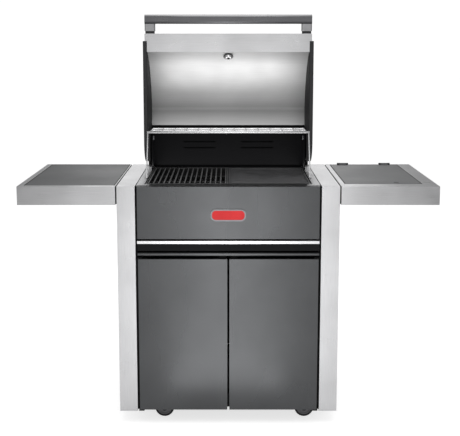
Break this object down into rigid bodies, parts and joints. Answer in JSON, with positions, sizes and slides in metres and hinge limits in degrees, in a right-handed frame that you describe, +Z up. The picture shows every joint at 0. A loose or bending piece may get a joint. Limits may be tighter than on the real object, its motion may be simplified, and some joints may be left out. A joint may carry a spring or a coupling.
{
  "type": "gas barbecue grill",
  "caption": "Freestanding gas barbecue on a two-door caster trolley, with side shelves, a side burner, a lift-up hood, a warming rack, an open grill and a solid hotplate.",
  "frame": {"origin": "on the floor, under the middle of the whole object with its hood open", "axes": "+X to the cook's right, +Y to the back, +Z up"},
  "size_m": [1.6, 0.568, 1.594],
  "materials": {
    "stainless": "brushed",
    "liner_steel": "polished",
    "graphite": "satin",
    "black_enamel": "semi-gloss",
    "cast_iron": "matt enamel",
    "alloy": "cast, satin",
    "brass": "machined",
    "tyre": "matt",
    "knob_black": "matt",
    "badge_red": "gloss enamel",
    "needle_red": "gloss"
  },
  "bodies": {
    "trolley": {"side_leg_left": "stainless", "side_leg_right": "stainless", "heat_shield": "stainless", "cooktop_rims": "stainless", "flame_tamers": "stainless", "warming_rack": "stainless", "shelf_frame_left": "stainless", "shelf_frame_right": "stainless", "side_burner_bowl": "stainless", "header_rail": "graphite", "control_panel": "graphite", "shelf_insert_left": "graphite", "door_catches": "black_enamel", "cabinet_sides": "black_enamel", "cabinet_base": "black_enamel", "cabinet_back": "black_enamel", "door_hinges": "black_enamel", "firebox": "black_enamel", "rear_hood_panel": "black_enamel", "cover_hinges": "black_enamel", "shelf_brackets": "black_enamel", "side_lid_hinges": "black_enamel", "burners": "cast_iron", "side_burner": "cast_iron", "caster_plates": "alloy", "gas_manifold": "alloy", "tray_runners": "alloy", "gas_valves": "brass"},
    "hood": {"hood_skin": "stainless", "hood_liner": "liner_steel", "hood_caps": "graphite", "hood_front_rail": "stainless", "handle_bar": "stainless", "handle_brackets": "alloy", "thermometer": "stainless", "hood_pivots": "alloy"},
    "gauge_needle": {"thermometer_needle": "needle_red"},
    "left_door": {"door_left": "graphite"},
    "right_door": {"door_right": "graphite"},
    "cover": {"fascia_cover": "graphite", "badge": "badge_red"},
    "burner_knob_1": {"knob_1": "knob_black"},
    "burner_knob_2": {"knob_2": "knob_black"},
    "burner_knob_3": {"knob_3": "knob_black"},
    "burner_knob_4": {"knob_4": "knob_black"},
    "side_burner_knob": {"knob_side": "knob_black"},
    "igniter": {"igniter_button": "stainless"},
    "tray": {"drip_tray": "black_enamel", "tray_pull": "stainless"},
    "side_lid": {"side_burner_lid": "graphite"},
    "left_plate": {"grill_plate": "cast_iron"},
    "right_plate": {"hotplate": "cast_iron"},
    "caster_fl": {"caster_fork_fl": "black_enamel"},
    "wheel_fl": {"caster_wheel_fl": "tyre"},
    "caster_fr": {"caster_fork_fr": "black_enamel"},
    "wheel_fr": {"caster_wheel_fr": "tyre"},
    "caster_rl": {"caster_fork_rl": "black_enamel"},
    "wheel_rl": {"caster_wheel_rl": "tyre"},
    "caster_rr": {"caster_fork_rr": "black_enamel"},
    "wheel_rr": {"caster_wheel_rr": "tyre"}
  },
  "joints": [
    {"name": "hood_hinge", "type": "hinge", "parent": "trolley", "child": "hood", "pos_m": [0, 0.1545, 1.0785], "axis": [1, 0, 0], "range_deg": [0, 90]},
    {"name": "gauge_needle_turn", "type": "hinge", "parent": "hood", "child": "gauge_needle", "pos_m": [0, 0.1085, 1.4662], "axis": [0, -0.6018, -0.7986], "range_deg": [0, 250], "stiffness_Nm_per_rad": 0.0004},
    {"name": "left_door_hinge", "type": "hinge", "parent": "trolley", "child": "left_door", "pos_m": [-0.338, -0.271, 0.361], "axis": [0, 0, -1], "range_deg": [0, 110]},
    {"name": "right_door_hinge", "type": "hinge", "parent": "trolley", "child": "right_door", "pos_m": [0.338, -0.271, 0.361], "axis": [0, 0, 1], "range_deg": [0, 110]},
    {"name": "cover_hinge", "type": "hinge", "parent": "trolley", "child": "cover", "pos_m": [0, -0.271, 0.749], "axis": [1, 0, 0], "range_deg": [0, 90]},
    {"name": "burner_knob_1_turn", "type": "hinge", "parent": "trolley", "child": "burner_knob_1", "pos_m": [-0.24, -0.25, 0.86], "axis": [0, -1, 0], "range_deg": [0, 180]},
    {"name": "burner_knob_2_turn", "type": "hinge", "parent": "trolley", "child": "burner_knob_2", "pos_m": [-0.08, -0.25, 0.86], "axis": [0, -1, 0], "range_deg": [0, 180]},
    {"name": "burner_knob_3_turn", "type": "hinge", "parent": "trolley", "child": "burner_knob_3", "pos_m": [0.08, -0.25, 0.86], "axis": [0, -1, 0], "range_deg": [0, 180]},
    {"name": "burner_knob_4_turn", "type": "hinge", "parent": "trolley", "child": "burner_knob_4", "pos_m": [0.24, -0.25, 0.86], "axis": [0, -1, 0], "range_deg": [0, 180]},
    {"name": "side_burner_knob_turn", "type": "hinge", "parent": "trolley", "child": "side_burner_knob", "pos_m": [0.308, -0.25, 0.86], "axis": [0, -1, 0], "range_deg": [0, 180]},
    {"name": "igniter_press", "type": "slide", "parent": "trolley", "child": "igniter", "axis": [0, 1, 0], "range_m": [0, 0.004], "stiffness_N_per_m": 700},
    {"name": "tray_slide", "type": "slide", "parent": "trolley", "child": "tray", "axis": [0, -1, 0], "range_m": [0, 0.4]},
    {"name": "side_lid_hinge", "type": "hinge", "parent": "trolley", "child": "side_lid", "pos_m": [0.588, 0.272, 0.9488], "axis": [-1, 0, 0], "range_deg": [0, 100]},
    {"name": "left_plate_lift", "type": "slide", "parent": "trolley", "child": "left_plate", "axis": [0, 0, 1], "range_m": [0, 0.04]},
    {"name": "right_plate_lift", "type": "slide", "parent": "trolley", "child": "right_plate", "axis": [0, 0, 1], "range_m": [0, 0.04]},
    {"name": "caster_fl_swivel", "type": "hinge", "parent": "trolley", "child": "caster_fl", "pos_m": [-0.278, -0.203, 0.09], "axis": [0, 0, 1], "continuous": true},
    {"name": "wheel_fl_turn", "type": "hinge", "parent": "caster_fl", "child": "wheel_fl", "pos_m": [-0.254, -0.203, 0.0375], "axis": [0, 1, 0], "continuous": true},
    {"name": "caster_fr_swivel", "type": "hinge", "parent": "trolley", "child": "caster_fr", "pos_m": [0.278, -0.203, 0.09], "axis": [0, 0, 1], "continuous": true},
    {"name": "wheel_fr_turn", "type": "hinge", "parent": "caster_fr", "child": "wheel_fr", "pos_m": [0.302, -0.203, 0.0375], "axis": [0, 1, 0], "continuous": true},
    {"name": "caster_rl_swivel", "type": "hinge", "parent": "trolley", "child": "caster_rl", "pos_m": [-0.278, 0.203, 0.09], "axis": [0, 0, 1], "continuous": true},
    {"name": "wheel_rl_turn", "type": "hinge", "parent": "caster_rl", "child": "wheel_rl", "pos_m": [-0.254, 0.203, 0.0375], "axis": [0, 1, 0], "continuous": true},
    {"name": "caster_rr_swivel", "type": "hinge", "parent": "trolley", "child": "caster_rr", "pos_m": [0.278, 0.203, 0.09], "axis": [0, 0, 1], "continuous": true},
    {"name": "wheel_rr_turn", "type": "hinge", "parent": "caster_rr", "child": "wheel_rr", "pos_m": [0.302, 0.203, 0.0375], "axis": [0, 1, 0], "continuous": true}
  ]
}
